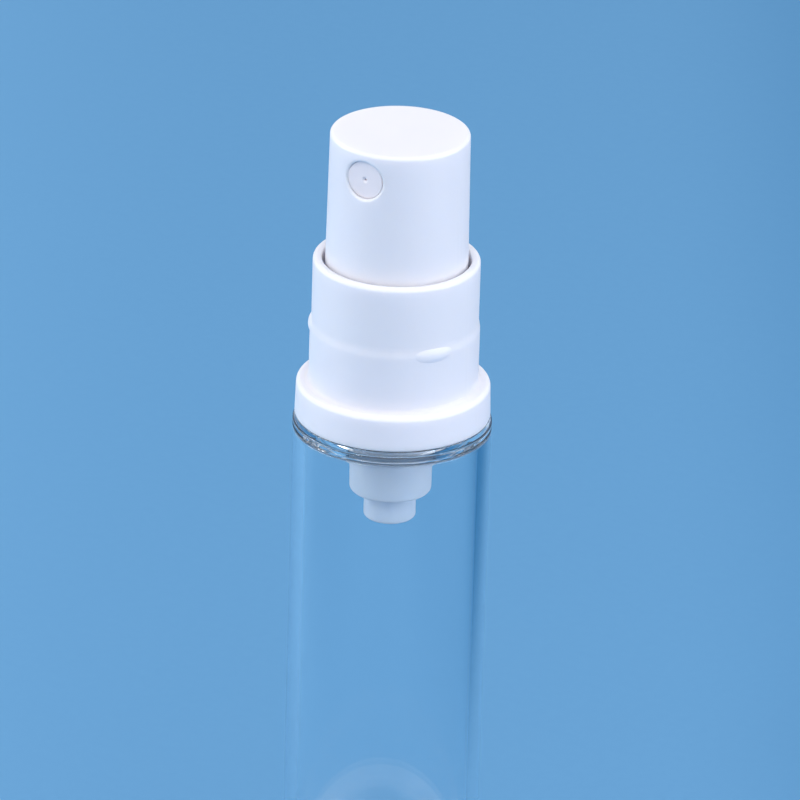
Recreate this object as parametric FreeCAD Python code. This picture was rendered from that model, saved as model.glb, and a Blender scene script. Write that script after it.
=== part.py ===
import FreeCAD, Part
import math
import os

# Airless spray bottle, in millimetres. The origin is the centre of the foot, +Z is up,
# and the nozzle faces -Y. Nearly every piece is turned about Z.

# Clear bottle: a tube closed by a thick shoulder with a stepped rim, and a short neck.
TUBE_RADIUS = 11.25
TUBE_WALL = 1.5
TUBE_LENGTH = 75.0  # foot to the top of the shoulder
FOOT_ROUND = 0.3
SHOULDER_THICKNESS = 2.0
SHOULDER_STEP = 0.25  # rim of the shoulder inside the tube's radius
SHOULDER_STEP_HEIGHT = 0.62
SHOULDER_ROUND = 0.15
CEILING_ROUND = 0.5
LINE_DROP = 1.24  # shoulder to the middle of the fine groove round the tube
LINE_HEIGHT = 0.24
LINE_DEPTH = 0.1
LINE_ROUND = 0.05
NECK_WALL = 1.0
NECK_HEIGHT = 4.6
NECK_BEAD_DEPTH = 0.3
NECK_BEAD_HEIGHT = 1.2
NECK_CLEARANCE = 0.35  # round the pump barrel

# Base plug: a vented cup pressed into the foot of the tube, held by a ridge in a groove.
PLUG_RECESS = 0.5
PLUG_HEIGHT = 3.5
PLUG_DISC = 1.2
PLUG_RIM = 1.2
PLUG_ROUND = 0.4
PLUG_FIT = 0.03
RIDGE_DEPTH = 0.25
RIDGE_HEIGHT = 1.0
VENT_RADIUS = 0.8

# Follower piston: two wiping lips, and a well that takes the pump barrel at the end of its rise.
FOLLOWER_FIT = 0.05
FOLLOWER_SEAT_GAP = 0.05
FOLLOWER_FOOT_GAP = 0.3  # well floor above the lower lip
FOLLOWER_WALL = 1.0
FOLLOWER_LIP_HEIGHT = 1.1
FOLLOWER_LIP_DEPTH = 0.4
FOLLOWER_LIP_SLOPE = 0.5
FOLLOWER_LIP_EDGE = 0.35
FOLLOWER_DISH = 0.7  # deck below the tip of the upper lip
FOLLOWER_ROUND = 0.4
WELL_CLEARANCE = 0.6  # round the pump barrel

# Collar: a flange on the shoulder, a tall shroud round the button and a deck that clamps the pump.
FLANGE_SETBACK = 0.21  # flange inside the tube's radius
FLANGE_DRAFT = 0.11
FLANGE_HEIGHT = 4.0
FLANGE_ROUND = 0.5
FLANGE_FOOT_ROUND = 0.12
FLANGE_LEDGE = 1.49  # shroud inside the flange
SHROUD_ROOT_ROUND = 0.5
SHROUD_STEP_HEIGHT = 11.6  # shoulder to the step in the shroud
SHROUD_STEP = 0.16
SHROUD_STEP_SLOPE = 0.9  # height that the step is spread over
SHROUD_STEP_ROUND = 3.0
CAP_SEAT_LENGTH = 7.4  # plain upper shroud, where an overcap slides on
SHROUD_WALL = 1.0
RIM_ROUND = 0.45
RIM_INNER_ROUND = 0.2
DECK_THICKNESS = 1.2
SNAP_CLEARANCE = 0.1
SNAP_LIP_HEIGHT = 1.0

# Cap beads on the shroud, just under its step.
BEAD_COUNT = 3
BEAD_START_ANGLE = 59.0  # degrees round from the nozzle to the first bead
BEAD_HALF_ANGLE = 13.5  # degrees
BEAD_PROUD = 0.2
BEAD_DROP = 0.95  # step to the middle of a bead
BEAD_HEIGHT = 1.7
BEAD_CROWN = 0.28

# Moving core of the pump, from the middle outwards: stem, poppet, spring and piston.
STROKE = 4.5
LOST_MOTION = 0.8  # stem travel before it meets the piston
SEAT_GAP = 0.04  # left between parts that rest on each other
STEM_BORE = 1.1
STEM_WALL = 0.9
STEM_CHAMFER = 0.25
CUP_CLEARANCE = 0.7  # stem to the cup of the piston round it
PISTON_WALL = 0.61
PISTON_FIT = 0.04
PISTON_TOP_GAP = 0.1
PISTON_HEIGHT = 3.8
PISTON_LIP_HEIGHT = 0.6
PISTON_LIP_DEPTH = 0.35
PISTON_LIP_SLOPE = 0.3
PISTON_CUP_DEPTH = 1.4
FLOW_GAP = 0.42  # poppet's plug to the bore in the piston's web
POPPET_CLEARANCE = 0.25  # poppet to the cup of the piston round it
POPPET_THICKNESS = 0.8
POPPET_TAIL_LENGTH = 2.0
POPPET_TAIL_ROUND = 0.3
POPPET_PLUG_LENGTH = 4.0
POPPET_PLUG_FIT = 0.02
POPPET_PLUG_THICKNESS = 1.2  # across its two flats
WIRE_RADIUS = 0.22
SPRING_INSET = 0.13  # coil inside the edge of the poppet
SPRING_CLEARANCE = 0.33  # coil to the poppet's tail inside it
SPRING_TURNS = 7
SPRING_END_PITCH = 0.9  # of the first and last turn
SPRING_STEPS = 4  # path pieces in each turn

# Pump barrel: a flange on the neck, a drafted body, and an inlet spigot with the ball's seat.
GASKET_THICKNESS = 0.8
BARREL_DRAFT = 0.15
BARREL_WALL = 0.93
BARREL_DEPTH = 9.1  # shoulder to the foot of the barrel
BARREL_FLOOR = 1.1
BARREL_FLANGE = 1.2
BARREL_ROUND = 0.4
SPIGOT_WALL = 1.5
SPIGOT_LENGTH = 3.4
SPIGOT_ROUND = 0.35
INLET_RADIUS = 0.8
INLET_LENGTH = 0.6
BALL_RADIUS = 1.25
BALL_CLEARANCE = 0.2
BALL_LIFT = 0.8
BALL_STOP_LIP = 0.25
BALL_SLOT_COUNT = 3
BALL_SLOT_WIDTH = 0.7

# Barrel cap: a guide for the stem, clamped between the barrel's flange and the deck.
CAP_FLANGE = 0.8
CAP_FLANGE_INSET = 0.2
CAP_PLUG_DEPTH = 1.6
CAP_FIT = 0.03
TURRET_WALL = 1.25
TURRET_RISE = 0.8
TURRET_CLEARANCE = 0.1
STEM_GUIDE_CLEARANCE = 0.05

# Button: a drafted shell with a socket on the stem and a boss that carries the nozzle.
BUTTON_RISE = 15.09  # rim of the collar to the top of the button
BUTTON_CLEARANCE = 0.31  # foot of the button inside the shroud
BUTTON_DRAFT = 0.27
BUTTON_WALL = 1.1
BUTTON_ROOF = 1.6
BUTTON_ROUND = 0.4
BUTTON_FOOT_ROUND = 0.2
BUTTON_END_GAP = 0.5  # left under the button when it is pressed home
SOCKET_WALL = 1.27
SOCKET_FIT = 0.03
BOSS_WALL = 1.0
NOZZLE_LAND = 0.68  # between the round of the button's top and the nozzle hole
NOZZLE_RADIUS = 2.2
NOZZLE_RECESS = 0.45
NOZZLE_MOUTH_ROUND = 0.28
STEM_TOP_DROP = 4.2  # nozzle's axis to the end of the stem
FEED_RADIUS = 0.45
FEED_INSET = 0.05  # feed channel inside the wall of the nozzle hole
FEED_RING_GAP = 0.9  # behind the insert

# Nozzle insert: a cup with a fine orifice, pressed into the boss over its centre post.
INSERT_FIT = 0.03
INSERT_LENGTH = 2.6
INSERT_FACE = 0.5
INSERT_WALL = 0.65
INSERT_CHAMFER = 0.05
POST_CLEARANCE = 0.15
ORIFICE_RADIUS = 0.13
DIMPLE_RADIUS = 0.4
DIMPLE_DEPTH = 0.15

CUT_OVERRUN = 1.0  # how far a cutting solid reaches past what it cuts
ROUND_LIMIT_SHARE = 0.45  # most of an outline's side that one round may take

# Radii of the pump and the neck, worked out from the stem's bore outwards.
stem_radius = STEM_BORE + STEM_WALL
plug_radius = STEM_BORE - POPPET_PLUG_FIT
piston_bore = plug_radius + FLOW_GAP
cup_radius = stem_radius + CUP_CLEARANCE
piston_waist = cup_radius + PISTON_WALL
piston_lip = piston_waist + PISTON_LIP_DEPTH
poppet_radius = cup_radius - POPPET_CLEARANCE
spring_radius = poppet_radius - SPRING_INSET - WIRE_RADIUS
tail_radius = spring_radius - WIRE_RADIUS - SPRING_CLEARANCE
barrel_bore = piston_lip + PISTON_FIT
barrel_foot_radius = barrel_bore + BARREL_WALL
barrel_radius = barrel_foot_radius + BARREL_DRAFT
ball_bore = BALL_RADIUS + BALL_CLEARANCE
spigot_radius = ball_bore + SPIGOT_WALL
guide_radius = stem_radius + STEM_GUIDE_CLEARANCE
turret_radius = guide_radius + TURRET_WALL
neck_bore = barrel_radius + NECK_CLEARANCE
neck_radius = neck_bore + NECK_WALL
neck_bead_radius = neck_radius + NECK_BEAD_DEPTH
snap_cavity_radius = neck_bead_radius + SNAP_CLEARANCE

# Radii of the case, worked out from the tube inwards.
chamber_radius = TUBE_RADIUS - TUBE_WALL
shoulder_rim_radius = TUBE_RADIUS - SHOULDER_STEP
flange_radius = TUBE_RADIUS - FLANGE_SETBACK
shroud_radius = flange_radius - FLANGE_LEDGE
cap_seat_radius = shroud_radius - SHROUD_STEP
shroud_bore = cap_seat_radius - SHROUD_WALL
button_foot_radius = shroud_bore - BUTTON_CLEARANCE
button_top_radius = button_foot_radius - BUTTON_DRAFT
stem_hole_radius = stem_radius + SOCKET_FIT
insert_radius = NOZZLE_RADIUS - INSERT_FIT
insert_bore = insert_radius - INSERT_WALL

# Levels up the axis, each worked out from the one that carries it.
plug_top = PLUG_RECESS + PLUG_HEIGHT
ridge_level = PLUG_RECESS + PLUG_HEIGHT / 2
shoulder_top = TUBE_LENGTH
shoulder_step = shoulder_top - SHOULDER_STEP_HEIGHT
line_level = shoulder_top - LINE_DROP
ceiling = shoulder_top - SHOULDER_THICKNESS
neck_top = shoulder_top + NECK_HEIGHT
neck_bead_foot = neck_top - NECK_BEAD_HEIGHT
flange_top = shoulder_top + FLANGE_HEIGHT
shroud_step = shoulder_top + SHROUD_STEP_HEIGHT
collar_top = shroud_step + CAP_SEAT_LENGTH
gasket_top = neck_top + GASKET_THICKNESS
barrel_top = gasket_top + BARREL_FLANGE
cap_flange_top = barrel_top + CAP_FLANGE
deck_top = cap_flange_top + DECK_THICKNESS
turret_top = deck_top + TURRET_RISE
barrel_foot = shoulder_top - BARREL_DEPTH
barrel_floor = barrel_foot + BARREL_FLOOR
spigot_foot = barrel_foot - SPIGOT_LENGTH
ball_seat = spigot_foot + INLET_LENGTH
ball_centre = ball_seat - INLET_RADIUS + BALL_RADIUS * math.sqrt(2) + SEAT_GAP
ball_stop = ball_centre + BALL_RADIUS + BALL_LIFT + SEAT_GAP
piston_top = barrel_top - CAP_PLUG_DEPTH - PISTON_TOP_GAP
piston_foot = piston_top - PISTON_HEIGHT
piston_web_top = piston_top - PISTON_CUP_DEPTH
piston_web_foot = piston_foot + PISTON_CUP_DEPTH
stem_foot = piston_web_top + LOST_MOTION + SEAT_GAP
poppet_top = piston_web_foot - SEAT_GAP
poppet_foot = poppet_top - POPPET_THICKNESS
button_foot = deck_top + STROKE + BUTTON_END_GAP
button_top = collar_top + BUTTON_RISE
socket_foot = turret_top + STROKE + BUTTON_END_GAP
nozzle_drop = BUTTON_ROUND + NOZZLE_LAND + NOZZLE_RADIUS
nozzle_level = button_top - nozzle_drop
feed_drop = NOZZLE_RADIUS - FEED_INSET - FEED_RADIUS
stem_top = nozzle_level - STEM_TOP_DROP
follower_foot = plug_top + FOLLOWER_SEAT_GAP
well_floor_foot = follower_foot + FOLLOWER_FOOT_GAP
well_floor = well_floor_foot + FOLLOWER_WALL
follower_top = well_floor + ceiling - spigot_foot

# Places along the nozzle's axis, as distances out from the axis of the bottle.
button_height = button_top - button_foot
nozzle_surface = button_top_radius + BUTTON_DRAFT * nozzle_drop / button_height
insert_face = nozzle_surface - NOZZLE_RECESS
insert_back = insert_face - INSERT_LENGTH
nozzle_bore_end = insert_back - FEED_RING_GAP
post_end = insert_face - INSERT_FACE - SEAT_GAP

AXIS = FreeCAD.Vector(0, 0, 1)
NOZZLE_AXIS = FreeCAD.Vector(0, -1, 0)
ORIGIN = FreeCAD.Vector(0, 0, 0)


def turned(corners):
    """Solid of revolution about Z from a closed outline of (radius, height) corners.

    A corner with a third number is rounded to that radius by a tangent arc, which is kept
    within its share of the two sides that meet there."""
    points = [FreeCAD.Vector(c[0], 0, c[1]) for c in corners]
    rounds = [c[2] if len(c) > 2 else 0 for c in corners]
    starts, middles, ends = [], [], []
    for i, corner in enumerate(points):
        back = points[i - 1] - corner
        ahead = points[(i + 1) % len(points)] - corner
        half_angle = back.getAngle(ahead) / 2
        most = ROUND_LIMIT_SHARE * min(back.Length, ahead.Length)
        setback = min(rounds[i] / math.tan(half_angle), most)
        radius = setback * math.tan(half_angle)
        back.normalize()
        ahead.normalize()
        inward = back + ahead
        if radius > 0:
            inward.normalize()
        starts.append(corner + back * setback)
        middles.append(corner + inward * (radius / math.sin(half_angle) - radius))
        ends.append(corner + ahead * setback)
    edges = []
    for i, start in enumerate(starts):
        edges.append(Part.makeLine(ends[i - 1], start))
        if rounds[i] > 0:
            edges.append(Part.Arc(start, middles[i], ends[i]).toShape())
    return Part.Face(Part.Wire(edges)).revolve(ORIGIN, AXIS, 360)


def rod(radius, start, end):
    """Cylinder from one point to another."""
    return Part.makeCylinder(radius, (end - start).Length, start, end - start)


def on_nozzle_axis(distance, drop=0):
    """Point at a distance out along the nozzle's axis, or at a drop below that axis."""
    return FreeCAD.Vector(0, -distance, nozzle_level - drop)


def bottle_tube():
    """Tube, stepped shoulder and neck, with the groove inside that holds the base plug."""
    groove_depth = RIDGE_DEPTH + PLUG_FIT
    bead_crown = neck_bead_foot + NECK_BEAD_HEIGHT / 2
    return turned([
        (chamber_radius, 0),
        (TUBE_RADIUS, 0, FOOT_ROUND),
        (TUBE_RADIUS, line_level - LINE_HEIGHT / 2),
        (TUBE_RADIUS - LINE_DEPTH, line_level, LINE_ROUND),
        (TUBE_RADIUS, line_level + LINE_HEIGHT / 2),
        (TUBE_RADIUS, shoulder_step, SHOULDER_ROUND),
        (shoulder_rim_radius, shoulder_step),
        (shoulder_rim_radius, shoulder_top, SHOULDER_ROUND),
        (neck_radius, shoulder_top),
        (neck_radius, neck_bead_foot),
        (neck_bead_radius, neck_bead_foot),
        (neck_bead_radius, bead_crown),
        (neck_radius, neck_top),
        (neck_bore, neck_top),
        (neck_bore, ceiling),
        (chamber_radius, ceiling, CEILING_ROUND),
        (chamber_radius, ridge_level + RIDGE_HEIGHT / 2),
        (chamber_radius + groove_depth, ridge_level),
        (chamber_radius, ridge_level - RIDGE_HEIGHT / 2),
    ])


def base_plug():
    """Cup that closes the foot, open downwards, with a ridge on its rim and a vent in its middle."""
    radius = chamber_radius - PLUG_FIT
    rim_inside = radius - PLUG_RIM
    disc_foot = plug_top - PLUG_DISC
    return turned([
        (VENT_RADIUS, disc_foot),
        (rim_inside, disc_foot, PLUG_ROUND),
        (rim_inside, PLUG_RECESS),
        (radius, PLUG_RECESS, PLUG_ROUND),
        (radius, ridge_level - RIDGE_HEIGHT / 2),
        (radius + RIDGE_DEPTH, ridge_level),
        (radius, ridge_level + RIDGE_HEIGHT / 2),
        (radius, plug_top),
        (VENT_RADIUS, plug_top),
    ])


def follower_piston():
    """Hat-shaped piston: a skirt with a lip at each end, a deck, and the well in its middle."""
    lip = chamber_radius - FOLLOWER_FIT
    waist = lip - FOLLOWER_LIP_DEPTH
    skirt_inside = waist - FOLLOWER_WALL
    well = barrel_radius + WELL_CLEARANCE
    well_outside = well + FOLLOWER_WALL
    deck = follower_top - FOLLOWER_DISH
    deck_foot = deck - FOLLOWER_WALL
    lower_lip_top = follower_foot + FOLLOWER_LIP_HEIGHT
    upper_lip_foot = follower_top - FOLLOWER_LIP_HEIGHT
    return turned([
        (0, well_floor_foot),
        (well_outside, well_floor_foot, FOLLOWER_ROUND),
        (well_outside, deck_foot, FOLLOWER_ROUND),
        (skirt_inside, deck_foot, FOLLOWER_ROUND),
        (skirt_inside, follower_foot),
        (lip, follower_foot),
        (lip, lower_lip_top),
        (waist, lower_lip_top + FOLLOWER_LIP_SLOPE),
        (waist, upper_lip_foot - FOLLOWER_LIP_SLOPE),
        (lip, upper_lip_foot),
        (lip, follower_top),
        (lip - FOLLOWER_LIP_EDGE, follower_top),
        (skirt_inside, deck, FOLLOWER_ROUND),
        (well, deck, FOLLOWER_ROUND),
        (well, well_floor, FOLLOWER_ROUND),
        (0, well_floor),
    ])


def cap_bead(angle):
    """Lens-shaped bead on the shroud, centred at an angle round from the nozzle.

    It is the rim of a disc set off the axis, so that it stands proud in its middle and
    runs out flush at its half angle on each side."""
    crest = shroud_radius + BEAD_PROUD
    flush = shroud_radius * math.cos(math.radians(BEAD_HALF_ANGLE))
    offset = (crest ** 2 - shroud_radius ** 2) / (2 * (crest - flush))
    radius = crest - offset
    level = shroud_step - BEAD_DROP
    foot = FreeCAD.Vector(radius - BEAD_CROWN, 0, level - BEAD_HEIGHT / 2)
    crown = FreeCAD.Vector(radius, 0, level)
    top = FreeCAD.Vector(radius - BEAD_CROWN, 0, level + BEAD_HEIGHT / 2)
    middle_foot = FreeCAD.Vector(0, 0, foot.z)
    middle_top = FreeCAD.Vector(0, 0, top.z)
    outline = Part.Wire([
        Part.makeLine(middle_foot, foot),
        Part.Arc(foot, crown, top).toShape(),
        Part.makeLine(top, middle_top),
        Part.makeLine(middle_top, middle_foot),
    ])
    disc = Part.Face(outline).revolve(ORIGIN, AXIS, 360)
    disc.translate(NOZZLE_AXIS * offset)
    disc.rotate(ORIGIN, AXIS, angle)
    core = rod(
        shroud_radius - SHROUD_WALL / 2,
        FreeCAD.Vector(0, 0, foot.z - CUT_OVERRUN),
        FreeCAD.Vector(0, 0, top.z + CUT_OVERRUN),
    )
    return disc.cut(core)


def collar():
    """Flange, shroud and deck in one turned moulding, clipped over the neck, with the cap beads on it."""
    snap_lip_radius = neck_radius + SNAP_CLEARANCE
    snap_lip_top = neck_bead_foot - SNAP_CLEARANCE
    snap_lip_foot = snap_lip_top - SNAP_LIP_HEIGHT
    snap_lead_in = snap_lip_foot - NECK_BEAD_DEPTH
    deck_hole = turret_radius + TURRET_CLEARANCE
    body = turned([
        (snap_cavity_radius, shoulder_top),
        (flange_radius, shoulder_top, FLANGE_FOOT_ROUND),
        (flange_radius - FLANGE_DRAFT, flange_top, FLANGE_ROUND),
        (shroud_radius, flange_top, SHROUD_ROOT_ROUND),
        (shroud_radius, shroud_step - SHROUD_STEP_SLOPE, SHROUD_STEP_ROUND),
        (cap_seat_radius, shroud_step, SHROUD_STEP_ROUND),
        (cap_seat_radius, collar_top, RIM_ROUND),
        (shroud_bore, collar_top, RIM_INNER_ROUND),
        (shroud_bore, deck_top),
        (deck_hole, deck_top),
        (deck_hole, cap_flange_top),
        (snap_cavity_radius, cap_flange_top),
        (snap_cavity_radius, snap_lip_top),
        (snap_lip_radius, snap_lip_top),
        (snap_lip_radius, snap_lip_foot),
        (snap_cavity_radius, snap_lead_in),
    ])
    spacing = 360 / BEAD_COUNT
    beads = [cap_bead(BEAD_START_ANGLE + i * spacing) for i in range(BEAD_COUNT)]
    return body.fuse(beads).removeSplitter()


def neck_gasket():
    """Flat ring between the neck and the barrel's flange."""
    return turned([
        (neck_bore, neck_top),
        (neck_radius, neck_top),
        (neck_radius, gasket_top),
        (neck_bore, gasket_top),
    ])


def pump_housing():
    """Barrel with its flange and spigot, and the slotted stop that keeps the ball in its seat."""
    seat_top = ball_seat + ball_bore - INLET_RADIUS
    ball_stop_radius = BALL_RADIUS - BALL_STOP_LIP
    body = turned([
        (INLET_RADIUS, spigot_foot),
        (spigot_radius, spigot_foot, SPIGOT_ROUND),
        (spigot_radius, barrel_foot, SPIGOT_ROUND),
        (barrel_foot_radius, barrel_foot, BARREL_ROUND),
        (barrel_radius, gasket_top),
        (neck_radius, gasket_top),
        (neck_radius, barrel_top),
        (barrel_bore, barrel_top),
        (barrel_bore, barrel_floor),
        (ball_stop_radius, barrel_floor),
        (ball_stop_radius, ball_stop),
        (ball_bore, ball_stop),
        (ball_bore, seat_top),
        (INLET_RADIUS, ball_seat),
    ])
    for i in range(BALL_SLOT_COUNT):
        corner = FreeCAD.Vector(0, -BALL_SLOT_WIDTH / 2, ball_stop)
        slot_height = barrel_floor - ball_stop + CUT_OVERRUN
        slot = Part.makeBox(ball_bore, BALL_SLOT_WIDTH, slot_height, corner)
        slot.rotate(ORIGIN, AXIS, i * 360 / BALL_SLOT_COUNT)
        body = body.cut(slot)
    return body


def housing_cap():
    """Guide for the stem: a plug in the barrel, a clamped flange and a turret through the deck."""
    plug = barrel_bore - CAP_FIT
    flange = neck_radius - CAP_FLANGE_INSET
    plug_foot = barrel_top - CAP_PLUG_DEPTH
    return turned([
        (guide_radius, plug_foot),
        (plug, plug_foot),
        (plug, barrel_top),
        (flange, barrel_top),
        (flange, cap_flange_top),
        (turret_radius, cap_flange_top),
        (turret_radius, turret_top),
        (guide_radius, turret_top),
    ])


def stem():
    """Hollow stem from the piston's cup up into the button's socket."""
    return turned([
        (STEM_BORE, stem_foot),
        (stem_radius, stem_foot),
        (stem_radius, stem_top - STEM_CHAMFER),
        (stem_radius - STEM_CHAMFER, stem_top),
        (STEM_BORE, stem_top),
    ])


def valve_rod():
    """Poppet under the piston, with a tail in the spring and a flatted plug in the stem's bore."""
    plug_top_level = stem_foot + POPPET_PLUG_LENGTH
    body = turned([
        (0, poppet_foot - POPPET_TAIL_LENGTH),
        (tail_radius, poppet_foot - POPPET_TAIL_LENGTH, POPPET_TAIL_ROUND),
        (tail_radius, poppet_foot),
        (poppet_radius, poppet_foot),
        (poppet_radius, poppet_top),
        (plug_radius, poppet_top),
        (plug_radius, plug_top_level),
        (0, plug_top_level),
    ])
    for side in (0, 180):
        corner = FreeCAD.Vector(-plug_radius, POPPET_PLUG_THICKNESS / 2, poppet_top)
        height = plug_top_level - poppet_top + CUT_OVERRUN
        flat = Part.makeBox(2 * plug_radius, plug_radius, height, corner)
        flat.rotate(ORIGIN, AXIS, side)
        body = body.cut(flat)
    return body


def pump_piston():
    """Sliding piston: a lip at each end, a cup above and below, and a web with the flow bore."""
    lower_lip_top = piston_foot + PISTON_LIP_HEIGHT
    upper_lip_foot = piston_top - PISTON_LIP_HEIGHT
    return turned([
        (cup_radius, piston_foot),
        (piston_lip, piston_foot),
        (piston_lip, lower_lip_top),
        (piston_waist, lower_lip_top + PISTON_LIP_SLOPE),
        (piston_waist, upper_lip_foot - PISTON_LIP_SLOPE),
        (piston_lip, upper_lip_foot),
        (piston_lip, piston_top),
        (cup_radius, piston_top),
        (cup_radius, piston_web_top),
        (piston_bore, piston_web_top),
        (piston_bore, piston_web_foot),
        (cup_radius, piston_web_foot),
    ])


def tangent_arc(start, direction, end):
    """Arc edge that leaves the start along a unit direction, and its direction at the end."""
    chord = end - start
    along = chord * (1 / chord.Length)
    end_direction = along * (2 * direction.dot(along)) - direction
    side = chord - direction * chord.dot(direction)
    side.normalize()
    radius = chord.Length ** 2 / (2 * chord.dot(side))
    centre = start + side * radius
    outward = (start - centre) + (end - centre)
    outward.normalize()
    return Part.Arc(start, centre + outward * radius, end).toShape(), end_direction


def biarc(start, start_direction, end, end_direction):
    """Two arcs that meet smoothly and keep the unit directions given at both ends."""
    chord = end - start
    turn = 1 - start_direction.dot(end_direction)
    reach = chord.dot(start_direction + end_direction)
    handle = (math.sqrt(reach ** 2 + 2 * turn * chord.dot(chord)) - reach) / (2 * turn)
    joint = (start + end + (start_direction - end_direction) * handle) / 2
    first, joint_direction = tangent_arc(start, start_direction, joint)
    second, _ = tangent_arc(joint, joint_direction, end)
    return [first, second]


def return_spring():
    """Coil spring from the barrel's floor to the poppet, its first and last turn drawn close."""
    foot = barrel_floor + WIRE_RADIUS + SEAT_GAP
    rise = poppet_foot - WIRE_RADIUS - SEAT_GAP - foot
    open_pitch = (rise - 2 * SPRING_END_PITCH) / (SPRING_TURNS - 2)

    def height(turn):
        """Height of the wire's middle after so many turns."""
        lower = SPRING_END_PITCH * min(turn, 1)
        middle = open_pitch * min(max(turn - 1, 0), SPRING_TURNS - 2)
        upper = SPRING_END_PITCH * max(turn - SPRING_TURNS + 1, 0)
        return foot + lower + middle + upper

    def place(step):
        """Point of the wire's middle after so many steps."""
        turn = step / SPRING_STEPS
        angle = 2 * math.pi * turn
        return FreeCAD.Vector(spring_radius * math.cos(angle), spring_radius * math.sin(angle), height(turn))

    def heading(step):
        """Unit direction of the wire, from the points half a step before and after."""
        return (place(step + 1 / 2) - place(step - 1 / 2)).normalize()

    steps = SPRING_TURNS * SPRING_STEPS
    path = []
    for i in range(steps):
        path += biarc(place(i), heading(i), place(i + 1), heading(i + 1))
    section = Part.Wire([Part.makeCircle(WIRE_RADIUS, place(0), heading(0))])
    rises = [(place(i) - place(i - SPRING_STEPS)).Length for i in range(SPRING_STEPS, steps + 1)]
    print("spring: least gap between turns", round(min(rises) - 2 * WIRE_RADIUS, 3), "mm")
    return Part.Wire(path).makePipeShell([section], True, False)


def inlet_ball():
    """Check ball on its conical seat."""
    return Part.makeSphere(BALL_RADIUS, FreeCAD.Vector(0, 0, ball_centre))


def is_mouth(edge):
    """Whether an edge of the button runs round the nozzle hole where it opens on the side."""
    middle = edge.valueAt((edge.FirstParameter + edge.LastParameter) / 2)
    off_axis = math.hypot(middle.x, middle.z - nozzle_level)
    return abs(off_axis - NOZZLE_RADIUS) < INSERT_FIT and edge.BoundBox.YMax < -insert_back


def actuator():
    """Button: drafted shell, stem socket and nozzle boss, with the spray passages cut in them."""
    roof_foot = button_top - BUTTON_ROOF
    envelope = turned([
        (0, button_foot),
        (button_foot_radius, button_foot, BUTTON_FOOT_ROUND),
        (button_top_radius, button_top, BUTTON_ROUND),
        (0, button_top),
    ])
    hollow = turned([
        (0, button_foot - CUT_OVERRUN),
        (button_foot_radius - BUTTON_WALL, button_foot - CUT_OVERRUN),
        (button_foot_radius - BUTTON_WALL, button_foot),
        (button_top_radius - BUTTON_WALL, roof_foot, BUTTON_ROUND),
        (0, roof_foot),
    ])
    boss_radius = NOZZLE_RADIUS + BOSS_WALL
    boss_end = (button_top_radius - BUTTON_WALL + math.sqrt(button_top_radius ** 2 - boss_radius ** 2)) / 2
    boss = rod(boss_radius, on_nozzle_axis(0), on_nozzle_axis(boss_end))
    socket = rod(stem_hole_radius + SOCKET_WALL, AXIS * socket_foot, AXIS * (button_top - BUTTON_ROOF / 2))
    body = envelope.cut(hollow).fuse([socket, boss]).removeSplitter()

    stem_end = stem_top + SEAT_GAP
    stem_hole = rod(stem_hole_radius, AXIS * (socket_foot - CUT_OVERRUN), AXIS * stem_end)
    gallery_top = nozzle_level - feed_drop + 2 * FEED_RADIUS
    gallery = rod(STEM_BORE, AXIS * (stem_end - SEAT_GAP), AXIS * gallery_top)
    feed = rod(FEED_RADIUS, on_nozzle_axis(0, feed_drop), on_nozzle_axis(insert_back, feed_drop))
    nozzle_hole = rod(
        NOZZLE_RADIUS, on_nozzle_axis(nozzle_bore_end), on_nozzle_axis(nozzle_surface + CUT_OVERRUN)
    )
    post = rod(insert_bore - POST_CLEARANCE, on_nozzle_axis(nozzle_bore_end), on_nozzle_axis(post_end))
    body = body.cut([stem_hole, gallery, feed, nozzle_hole.cut(post)])
    mouth = [edge for edge in body.Edges if is_mouth(edge)]
    return body.makeFillet(NOZZLE_MOUTH_ROUND, mouth)


def nozzle_insert():
    """Spray cup on the nozzle's axis, turned about Z and then laid over to face outwards."""
    cup = turned([
        (ORIFICE_RADIUS, INSERT_LENGTH - INSERT_FACE),
        (insert_bore, INSERT_LENGTH - INSERT_FACE),
        (insert_bore, 0),
        (insert_radius, 0),
        (insert_radius, INSERT_LENGTH - INSERT_CHAMFER),
        (insert_radius - INSERT_CHAMFER, INSERT_LENGTH),
        (DIMPLE_RADIUS, INSERT_LENGTH),
        (ORIFICE_RADIUS, INSERT_LENGTH - DIMPLE_DEPTH),
    ])
    cup.rotate(ORIGIN, FreeCAD.Vector(1, 0, 0), 90)
    cup.translate(on_nozzle_axis(insert_back))
    return cup


PIECES = [
    bottle_tube,
    base_plug,
    follower_piston,
    collar,
    neck_gasket,
    pump_housing,
    housing_cap,
    stem,
    valve_rod,
    pump_piston,
    return_spring,
    inlet_ball,
    actuator,
    nozzle_insert,
]

os.makedirs("parts", exist_ok=True)
for piece in PIECES:
    piece().exportStep(os.path.join("parts", piece.__name__ + ".step"))
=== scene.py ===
import math

import bpy
import numpy as np
from mathutils import Matrix, Vector


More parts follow.
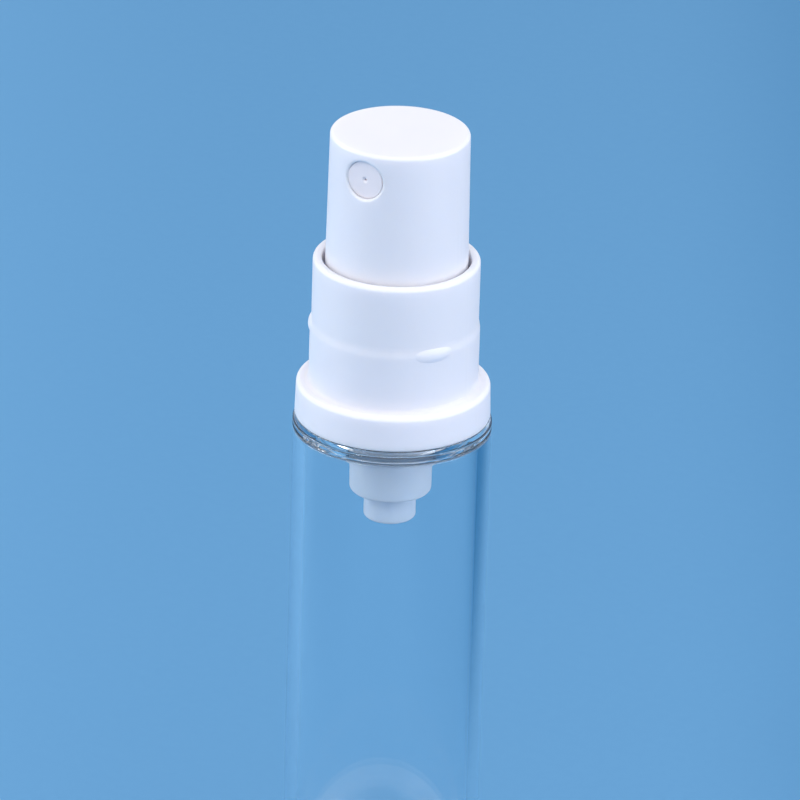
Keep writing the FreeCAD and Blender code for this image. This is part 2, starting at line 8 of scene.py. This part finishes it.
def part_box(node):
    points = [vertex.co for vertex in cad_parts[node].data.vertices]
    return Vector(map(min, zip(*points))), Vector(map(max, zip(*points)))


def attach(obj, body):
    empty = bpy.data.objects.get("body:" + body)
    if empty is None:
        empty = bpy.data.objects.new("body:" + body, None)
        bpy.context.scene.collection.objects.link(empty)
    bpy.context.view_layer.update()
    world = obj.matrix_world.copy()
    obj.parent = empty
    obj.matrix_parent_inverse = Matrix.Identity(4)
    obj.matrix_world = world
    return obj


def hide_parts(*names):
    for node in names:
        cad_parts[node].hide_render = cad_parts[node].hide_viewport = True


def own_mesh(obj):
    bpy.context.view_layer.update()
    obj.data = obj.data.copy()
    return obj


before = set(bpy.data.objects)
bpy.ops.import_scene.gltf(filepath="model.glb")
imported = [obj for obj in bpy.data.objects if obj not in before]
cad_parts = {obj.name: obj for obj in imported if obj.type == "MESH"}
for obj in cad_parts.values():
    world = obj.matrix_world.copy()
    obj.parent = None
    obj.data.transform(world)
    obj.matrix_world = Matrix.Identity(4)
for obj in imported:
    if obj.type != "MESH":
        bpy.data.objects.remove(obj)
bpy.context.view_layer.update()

# Clear tube: one injection moulding in SAN, a stiff glass-clear plastic, with a thick shoulder whose rim is
# stepped, a fine groove under the step, and the neck that the collar is pressed over. The foot is open and
# has a groove inside for the base plug.
MM = 0.001


def outline(corners, steps=10):
    """Points of a closed outline of (radius, height) corners in millimetres.

    A corner with a third number becomes a tangent arc of that radius: its centre lies on the bisector of the
    two sides, and its ends lie radius / tan(half angle) from the corner. A point just past each end of the
    arc keeps the shading of the flat beside it flat."""
    past_share = 0.15
    points = np.array([corner[:2] for corner in corners], float)
    parts = []
    for corner, before, here, after in zip(corners, np.roll(points, 1, 0), points, np.roll(points, -1, 0)):
        if len(corner) == 2:
            parts.append(here[None])
            continue
        back, ahead = before - here, after - here
        back, ahead = back / np.linalg.norm(back), ahead / np.linalg.norm(ahead)
        half_angle = math.acos(back @ ahead) / 2
        setback = corner[2] / math.tan(half_angle)
        inward = (back + ahead) / np.linalg.norm(back + ahead)
        centre = here + inward * corner[2] / math.sin(half_angle)
        start, end = here + back * setback - centre, here + ahead * setback - centre
        first = math.atan2(start[1], start[0])
        sweep = (math.atan2(end[1], end[0]) - first + math.pi) % (2 * math.pi) - math.pi
        angle = first + sweep * np.linspace(0, 1, steps + 1)
        arc = centre + corner[2] * np.stack([np.cos(angle), np.sin(angle)], -1)
        past = past_share * corner[2]
        parts.append(np.vstack([arc[:1] + back * past, arc, arc[-1:] + ahead * past]))
    return np.vstack(parts)


def turned(profile, around):
    """Grid of points of a profile turned about Z: (radius cos angle, radius sin angle, height)."""
    angle = np.linspace(0, 2 * math.pi, around, endpoint=False)
    height = np.broadcast_to(profile[:, 1:], (len(profile), around))
    return np.stack([profile[:, :1] * np.cos(angle), profile[:, :1] * np.sin(angle), height], -1)


def surface(name, grid, capped=False):
    """Smooth object from a grid of points in millimetres, whose columns close round.

    Its rows close into a loop, or when capped its first and last row each meet in one point. Each face joins
    two neighbours in a row to the same two in the next row. Steeper edges than the limit keep their crease, so
    that the flats beside them shade flat."""
    sharp_degrees = 20
    index = np.arange(grid.shape[0] * grid.shape[1]).reshape(grid.shape[:2])
    if capped:
        index[0], index[-1] = index[0, 0], index[-1, 0]
    here, above = (index[:-1], index[1:]) if capped else (index, np.roll(index, -1, 0))
    quads = np.stack([here, np.roll(here, -1, 1), np.roll(above, -1, 1), above], -1).reshape(-1, 4)
    used, quads = np.unique(quads, return_inverse=True)
    quads = quads.reshape(-1, 4)
    foot, head = quads[:, 0] == quads[:, 1], quads[:, 2] == quads[:, 3]
    faces = quads[~foot & ~head].tolist() + quads[foot][:, 1:].tolist() + quads[head][:, :3].tolist()
    mesh = bpy.data.meshes.new(name)
    mesh.from_pydata((grid.reshape(-1, 3)[used] * MM).tolist(), [], faces)
    mesh.shade_smooth()
    mesh.set_sharp_from_angle(angle=math.radians(sharp_degrees))
    piece = bpy.data.objects.new(name, mesh)
    bpy.context.scene.collection.objects.link(piece)
    return piece


def linear(colour):
    """Linear RGBA of an sRGB hex colour: value / 12.92 where it is small, else ((value + 0.055) / 1.055) ^ 2.4."""
    value = np.array([int(colour[i:i + 2], 16) for i in (1, 3, 5)]) / 255
    return (*np.where(value <= 0.04045, value / 12.92, ((value + 0.055) / 1.055) ** 2.4), 1)


def material(name):
    """New material of that name whose node tree is still empty."""
    made = bpy.data.materials.new(name)
    made.use_nodes = True
    made.node_tree.nodes.clear()
    return made


def add(tree, kind, settings=None, **inputs):
    """Adds a node. Settings are its own properties; an input is a socket to link from, or a value."""
    node = tree.nodes.new("ShaderNode" + kind)
    for name, value in (settings or {}).items():
        setattr(node, name, value)
    for name, value in inputs.items():
        socket = node.inputs[name.replace("_", " ")]
        if isinstance(value, bpy.types.NodeSocket):
            tree.links.new(value, socket)
        else:
            socket.default_value = value
    return node


tube_low, tube_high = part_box("bottle_tube")
tube_radius, tube_foot, neck_top = tube_high.x / MM, tube_low.z / MM, tube_high.z / MM
shoulder_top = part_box("collar")[0].z / MM
tube_wall, shoulder_thickness, seat_gap = 1.5, 2.0, 0.02
rim_inset, rim_height, rim_round, rim_edge = 0.25, 0.62, 0.24, 0.12
line_drop, line_height, line_depth, line_round = 1.24, 0.24, 0.1, 0.05
ceiling_round, foot_round = 0.3, 0.3
neck_radius, neck_bore, bead_depth, bead_height = 6.13, 5.13, 0.3, 1.2
plug_groove_level, plug_groove_height, plug_groove_depth = 2.25, 1.0, 0.28
tube_around = 384

chamber_radius = tube_radius - tube_wall
rim_foot = shoulder_top - rim_height
line_level = shoulder_top - line_drop
ceiling = shoulder_top - shoulder_thickness
tube = surface("clear_tube", turned(outline([
    (chamber_radius, tube_foot),
    (tube_radius, tube_foot, foot_round),
    (tube_radius, line_level - line_height / 2),
    (tube_radius - line_depth, line_level, line_round),
    (tube_radius, line_level + line_height / 2),
    (tube_radius, rim_foot, rim_round),
    (tube_radius - rim_inset, rim_foot),
    (tube_radius - rim_inset, shoulder_top - seat_gap, rim_edge),
    (neck_radius, shoulder_top - seat_gap),
    (neck_radius, neck_top - bead_height),
    (neck_radius + bead_depth, neck_top - bead_height),
    (neck_radius + bead_depth, neck_top - bead_height / 2),
    (neck_radius, neck_top),
    (neck_bore, neck_top),
    (neck_bore, ceiling),
    (chamber_radius, ceiling, ceiling_round),
    (chamber_radius, plug_groove_level + plug_groove_height / 2),
    (chamber_radius + plug_groove_depth, plug_groove_level),
    (chamber_radius, plug_groove_level - plug_groove_height / 2),
]), tube_around))

# Clear plastic hardly shades what is behind it, but the renderer would give it the shadow of an opaque piece.
tube.visible_shadow = False

# Polished SAN is clear with a trace of blue. The melt flowed up the wall, which leaves long shallow waves in
# it, and handling leaves faint hazy patches.
san = material("clear polished SAN")
tree = san.node_tree
where = add(tree, "TexCoord").outputs["Object"]
along = add(tree, "Mapping", Vector=where, Scale=(1, 1, 0.15))
flow = add(tree, "TexNoise", Vector=along.outputs[0], Scale=1 / (5 * MM), Detail=1)
waves = add(tree, "Bump", Height=flow.outputs[0], Strength=1, Distance=0.006 * MM)
haze = add(tree, "TexNoise", Vector=where, Scale=1 / (4 * MM), Detail=4)
rough = add(tree, "MapRange", Value=haze.outputs[0], From_Min=0.4, From_Max=0.8, To_Min=0.0, To_Max=0.02)
shader = add(
    tree, "BsdfPrincipled", Base_Color=linear("#FCFEFF"), Roughness=rough.outputs[0], IOR=1.567,
    Transmission_Weight=1, Normal=waves.outputs[0],
)
add(tree, "OutputMaterial", Surface=shader.outputs[0])
tube.data.materials.append(san)
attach(tube, "bottle")
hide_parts("bottle_tube")

# Light is totally reflected many times inside the thick shoulder, so its paths may be longer than usual.
longest_path, reflections, refractions = 32, 24, 24
paths = bpy.context.scene.cycles
paths.max_bounces, paths.glossy_bounces, paths.transmission_bounces = longest_path, reflections, refractions

# Base plug, collar and button: white polypropylene mouldings. The plug is pressed into the foot of the tube,
# the collar over the neck, and the button onto the pump's stem. They are the solids of the frame.
#
# Moulded polypropylene has a satin skin that lets light in a little, with faint orange peel; the peel is
# drawn about twice as coarse as it is so that it shows.
white = material("white moulded polypropylene")
tree = white.node_tree
where = add(tree, "TexCoord").outputs["Object"]
peel = add(tree, "TexNoise", Vector=where, Scale=1 / (0.6 * MM), Detail=2)
skin = add(tree, "Bump", Height=peel.outputs[0], Strength=1, Distance=0.003 * MM)
cloud = add(tree, "TexNoise", Vector=where, Scale=1 / (5 * MM), Detail=3)
tint = add(tree, "MixRGB", Fac=cloud.outputs[0], Color1=linear("#ECEBF2"), Color2=linear("#EFEEF4"))
rough = add(tree, "MapRange", Value=cloud.outputs[0], From_Min=0, From_Max=1, To_Min=0.44, To_Max=0.52)
shader = add(
    tree, "BsdfPrincipled", Base_Color=tint.outputs[0], Roughness=rough.outputs[0], IOR=1.49,
    Subsurface_Weight=1, Subsurface_Radius=(1, 0.95, 0.9), Subsurface_Scale=1.1 * MM, Normal=skin.outputs[0],
)
add(tree, "OutputMaterial", Surface=shader.outputs[0])
for name in ("base_plug", "collar", "actuator"):
    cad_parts[name].material_slots[0].material = white

# Follower, gasket and pump piston: soft low-density polyethylene without pigment. The follower wipes the tube
# and rises as the bottle empties, the gasket seals the neck, and the small piston works in the barrel.
#
# Without pigment it is a cloudy, waxy white that light goes into.
waxy = material("natural low-density polyethylene")
tree = waxy.node_tree
where = add(tree, "TexCoord").outputs["Object"]
cloud = add(tree, "TexNoise", Vector=where, Scale=1 / (3 * MM), Detail=3)
tint = add(tree, "MixRGB", Fac=cloud.outputs[0], Color1=linear("#D3DAE0"), Color2=linear("#DEE4E8"))
rough = add(tree, "MapRange", Value=cloud.outputs[0], From_Min=0.3, From_Max=0.7, To_Min=0.38, To_Max=0.5)
skin = add(tree, "Bump", Height=cloud.outputs[0], Strength=1, Distance=0.02 * MM)
shader = add(
    tree, "BsdfPrincipled", Base_Color=tint.outputs[0], Roughness=rough.outputs[0], IOR=1.51,
    Transmission_Weight=0.3, Subsurface_Weight=0.4, Subsurface_Radius=(1, 0.95, 0.9),
    Subsurface_Scale=1.5 * MM, Normal=skin.outputs[0],
)
add(tree, "OutputMaterial", Surface=shader.outputs[0])
for name in ("follower_piston", "neck_gasket", "pump_piston"):
    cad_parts[name].material_slots[0].material = waxy

# Pump barrel: milky polypropylene without pigment, hung by its flange on the neck and seen through the tube.
# Its inlet spigot points down and holds the check ball.
#
# Thin walls of it let light through as frosted glass does.
milky = material("natural milky polypropylene")
tree = milky.node_tree
where = add(tree, "TexCoord").outputs["Object"]
cloud = add(tree, "TexNoise", Vector=where, Scale=1 / (2 * MM), Detail=3)
tint = add(tree, "MixRGB", Fac=cloud.outputs[0], Color1=linear("#D0DEF0"), Color2=linear("#D9E6F6"))
rough = add(tree, "MapRange", Value=cloud.outputs[0], From_Min=0.3, From_Max=0.7, To_Min=0.36, To_Max=0.46)
skin = add(tree, "Bump", Height=cloud.outputs[0], Strength=1, Distance=0.01 * MM)
shader = add(
    tree, "BsdfPrincipled", Base_Color=tint.outputs[0], Roughness=rough.outputs[0], IOR=1.49,
    Transmission_Weight=0.3, Subsurface_Weight=0.6, Subsurface_Radius=(1, 0.95, 0.9),
    Subsurface_Scale=1.5 * MM, Normal=skin.outputs[0],
)
add(tree, "OutputMaterial", Surface=shader.outputs[0])
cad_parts["pump_housing"].material_slots[0].material = milky

# Check ball: a stainless ball that lies loose on the inlet's seat and lifts on the suction stroke. It is ground
# and polished, which leaves a bright mirror with faint marks.
polished = material("polished stainless steel")
tree = polished.node_tree
where = add(tree, "TexCoord").outputs["Object"]
marks = add(tree, "TexNoise", Vector=where, Scale=1 / (0.3 * MM), Detail=4)
rough = add(tree, "MapRange", Value=marks.outputs[0], From_Min=0.3, From_Max=0.7, To_Min=0.06, To_Max=0.16)
shader = add(tree, "BsdfPrincipled", Base_Color=linear("#C9CBCC"), Metallic=1, Roughness=rough.outputs[0])
add(tree, "OutputMaterial", Surface=shader.outputs[0])
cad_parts["inlet_ball"].material_slots[0].material = polished

# Return spring: drawn stainless wire wound in seven turns, the first and last drawn close, between the barrel's
# floor and the poppet. The real spring shortens with the stroke of the button; here it is wound at one length and
# rides with the bottle.
spring_low, spring_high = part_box("return_spring")
wire_radius, spring_turns, end_pitch = 0.22, 7, 0.9
coil_radius = spring_high.x / MM - wire_radius
spring_foot, spring_head = spring_low.z / MM + wire_radius, spring_high.z / MM - wire_radius


def coiled(radius, foot, head, turns, end_pitch, section, steps=48, around=20):
    """Grid of points of a wire wound about Z: its middle is (radius cos t, radius sin t, height of t).

    The height rises by the end pitch over the first and last turn, and evenly over those between. Each row is a
    circle of the section's radius round the middle, across the wire's direction, and the end rows are its middle."""
    turn = np.linspace(0, turns, turns * steps + 1)
    height = np.interp(turn, [0, 1, turns - 1, turns], [foot, foot + end_pitch, head - end_pitch, head])
    angle = 2 * math.pi * turn
    middle = np.stack([radius * np.cos(angle), radius * np.sin(angle), height], -1)
    direction = np.gradient(middle, axis=0)
    direction /= np.linalg.norm(direction, axis=1, keepdims=True)
    outward = np.stack([np.cos(angle), np.sin(angle), np.zeros_like(angle)], -1)
    across = np.cross(direction, outward)
    spin = np.linspace(0, 2 * math.pi, around, endpoint=False)[None, :, None]
    ring = outward[:, None] * np.cos(spin) + across[:, None] * np.sin(spin)
    wire = middle[:, None] + section * ring
    ends = np.broadcast_to(middle[[0, -1], None], (2, around, 3))
    return np.concatenate([ends[:1], wire, ends[1:]])


spring = surface("return_coil", coiled(
    coil_radius, spring_foot, spring_head, spring_turns, end_pitch, wire_radius
), capped=True)

# Drawing leaves the wire finely scratched, which shows as a fine grain in its shine.
drawn = material("drawn stainless spring wire")
tree = drawn.node_tree
where = add(tree, "TexCoord").outputs["Object"]
grain = add(tree, "TexNoise", Vector=where, Scale=1 / (0.15 * MM), Detail=3)
rough = add(tree, "MapRange", Value=grain.outputs[0], From_Min=0.3, From_Max=0.7, To_Min=0.2, To_Max=0.38)
skin = add(tree, "Bump", Height=grain.outputs[0], Strength=1, Distance=0.004 * MM)
shader = add(
    tree, "BsdfPrincipled", Base_Color=linear("#B9BABA"), Metallic=1, Roughness=rough.outputs[0],
    Normal=skin.outputs[0],
)
add(tree, "OutputMaterial", Surface=shader.outputs[0])
spring.data.materials.append(drawn)
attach(spring, "bottle")
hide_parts("return_spring")
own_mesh(spring)

# Barrel cap, stem and poppet: white acetal, a hard slippery plastic. The cap guides the stem, which carries the
# button, and the poppet plugged into the stem's foot is the outlet valve.
#
# Acetal is a satin, slightly warm white.
acetal = material("white satin acetal")
tree = acetal.node_tree
where = add(tree, "TexCoord").outputs["Object"]
cloud = add(tree, "TexNoise", Vector=where, Scale=1 / (1.5 * MM), Detail=3)
tint = add(tree, "MixRGB", Fac=cloud.outputs[0], Color1=linear("#E2E4E4"), Color2=linear("#E9EAE9"))
rough = add(tree, "MapRange", Value=cloud.outputs[0], From_Min=0.3, From_Max=0.7, To_Min=0.32, To_Max=0.42)
skin = add(tree, "Bump", Height=cloud.outputs[0], Strength=1, Distance=0.006 * MM)
shader = add(
    tree, "BsdfPrincipled", Base_Color=tint.outputs[0], Roughness=rough.outputs[0], IOR=1.48,
    Subsurface_Weight=0.1, Subsurface_Radius=(1, 0.95, 0.9), Subsurface_Scale=0.8 * MM, Normal=skin.outputs[0],
)
add(tree, "OutputMaterial", Surface=shader.outputs[0])
for name in ("housing_cap", "stem", "valve_rod"):
    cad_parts[name].material_slots[0].material = acetal

# Nozzle insert: a small cup moulded in acetal, with a dimple round its spray orifice. It is pressed into the
# round recess in the button's side.
#
# Its face is spark-eroded in the mould, so it is more matt than the button round it.
matt_acetal = material("white fine-matt acetal")
tree = matt_acetal.node_tree
where = add(tree, "TexCoord").outputs["Object"]
grit = add(tree, "TexNoise", Vector=where, Scale=1 / (0.2 * MM), Detail=3)
skin = add(tree, "Bump", Height=grit.outputs[0], Strength=1, Distance=0.008 * MM)
rough = add(tree, "MapRange", Value=grit.outputs[0], From_Min=0.3, From_Max=0.7, To_Min=0.42, To_Max=0.55)
shader = add(
    # Its white is painted lighter and pinker than the acetal of the stem, as painted light that lifts the shade of
    # the recess it sits in.
    tree, "BsdfPrincipled", Base_Color=linear("#F6EDF0"), Roughness=rough.outputs[0], IOR=1.48,
    Subsurface_Weight=0.5, Subsurface_Radius=(1, 0.95, 0.9), Subsurface_Scale=0.6 * MM, Normal=skin.outputs[0],
)
add(tree, "OutputMaterial", Surface=shader.outputs[0])
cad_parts["nozzle_insert"].material_slots[0].material = matt_acetal

# Floor: a roll of matt blue paper, far wider than the view. Its blue is painted a little lighter to the left of the
# bottle as painted light, and painted darker beyond the picture's right edge as a painted shadow.
view_azimuth = math.radians(30.5)
reach, painted_shade_start, painted_shade_end, painted_light_start, painted_light_end = 4000, 34, 120, -20, -120
paper = bpy.data.meshes.new("paper_floor")
corners = [(x * reach * MM, y * reach * MM, 0) for x, y in ((-1, -1), (1, -1), (1, 1), (-1, 1))]
paper.from_pydata(corners, [], [(0, 1, 2, 3)])
floor = bpy.data.objects.new("paper_floor", paper)
bpy.context.scene.collection.objects.link(floor)
blue = material("matt blue paper")
tree = blue.node_tree
where = add(tree, "TexCoord").outputs["Object"]
fibre = add(tree, "TexNoise", Vector=where, Scale=1 / (1.5 * MM), Detail=4)
tint = add(tree, "MixRGB", Fac=fibre.outputs[0], Color1=linear("#6096C2"), Color2=linear("#6399C4"))
across = add(tree, "VectorMath", {"operation": "DOT_PRODUCT"}, Vector=where)
across.inputs[1].default_value = (math.cos(view_azimuth), math.sin(view_azimuth), 0)
# Two painted bands: painted light to the left of the bottle, and painted shade, a painted shadow, beyond the right
# edge.
for start, end, colour in ((painted_shade_start, painted_shade_end, "#306D9C"), (painted_light_start, painted_light_end, "#6CA3CF")):
    share = add(
        tree, "MapRange", {"interpolation_type": "SMOOTHSTEP"}, Value=across.outputs["Value"],
        From_Min=start * MM, From_Max=end * MM,
    )
    tint = add(tree, "MixRGB", Fac=share.outputs[0], Color1=tint.outputs[0], Color2=linear(colour))
shader = add(tree, "BsdfPrincipled", Base_Color=tint.outputs[0], Roughness=0.9, Specular_IOR_Level=0.1)
add(tree, "OutputMaterial", Surface=shader.outputs[0])
paper.materials.append(blue)

# Light: a wide softbox high at the right front, a small one at the left front, a low fill on each side, and a
# pale room round them that is darker behind the bottle.
view_elevation, view_roll = math.radians(24.383), math.radians(1.693)


def softbox(name, azimuth, elevation, distance, size, power, colour):
    """Area light that faces the bottle's shoulder, at an azimuth in degrees to the right of the camera.

    Its distance and size are in metres and its power in watts."""
    turn, rise = view_azimuth + math.radians(azimuth), math.radians(elevation)
    away = Vector((math.sin(turn) * math.cos(rise), -math.cos(turn) * math.cos(rise), math.sin(rise)))
    lamp = bpy.data.lights.new(name, "AREA")
    lamp.shape, (lamp.size, lamp.size_y) = "RECTANGLE", size
    lamp.energy, lamp.color = power, linear(colour)[:3]
    holder = bpy.data.objects.new(name, lamp)
    holder.location = away * distance + Vector((0, 0, shoulder_top * MM))
    holder.rotation_euler = away.to_track_quat("Z", "Y").to_euler()
    bpy.context.scene.collection.objects.link(holder)


for name, azimuth, elevation, distance, size, power, colour in (
    ("softbox_right", 45, 58, 1.5, (2.0, 2.0), 7.5, "#FFFFFF"),
    ("softbox_key", -42, 38, 1.2, (0.25, 0.25), 1.6, "#FFFFFF"),
    ("softbox_left_fill", -100, 20, 0.75, (0.5, 0.45), 2.1, "#FFFFFF"),
    ("softbox_right_fill", 75, 18, 0.75, (0.4, 0.4), 2.2, "#EBF3FF"),
):
    softbox(name, azimuth, elevation, distance, size, power, colour)
room = bpy.data.worlds.new("pale room")
room.use_nodes = True
tree = room.node_tree
tree.nodes.clear()
where = add(tree, "TexCoord").outputs["Generated"]
behind = (-math.sin(view_azimuth), math.cos(view_azimuth), 0)
facing = add(tree, "VectorMath", {"operation": "DOT_PRODUCT"}, Vector=where)
facing.inputs[1].default_value = behind
depth = add(tree, "MapRange", Value=facing.outputs["Value"], From_Min=-0.2, From_Max=0.8)
tint = add(tree, "MixRGB", Fac=depth.outputs[0], Color1=linear("#EAEBEF"), Color2=linear("#A8AEB8"))
shader = add(tree, "Background", Color=tint.outputs[0], Strength=1)
add(tree, "OutputWorld", Surface=shader.outputs[0])
bpy.context.scene.world = room
bpy.context.scene.view_settings.view_transform = "Standard"

# Camera: a long lens about 0.9 m from the shoulder, round to the right of the nozzle and above it, rolled by
# under two degrees, with the shoulder a little below and left of the picture's middle.
back = np.array([
    math.sin(view_azimuth) * math.cos(view_elevation),
    -math.cos(view_azimuth) * math.cos(view_elevation),
    math.sin(view_elevation),
])
level = np.array([math.cos(view_azimuth), math.sin(view_azimuth), 0])
upright = np.cross(back, level)
right = level * math.cos(view_roll) + upright * math.sin(view_roll)
up = upright * math.cos(view_roll) - level * math.sin(view_roll)
shift_right, shift_up, camera_distance = 0.856, 1.258, 901.1
target = np.array([0, 0, shoulder_top]) + shift_right * right + shift_up * up
stand = target + camera_distance * back
lens = bpy.data.cameras.new("photo_view")
focal_length, sensor_width = 360, 36
lens.lens, lens.sensor_width = focal_length, sensor_width
camera = bpy.data.objects.new("photo_view", lens)
camera.matrix_world = Matrix([[right[i], up[i], back[i], stand[i] * MM] for i in range(3)] + [[0, 0, 0, 1]])
bpy.context.scene.collection.objects.link(camera)
bpy.context.scene.camera = camera
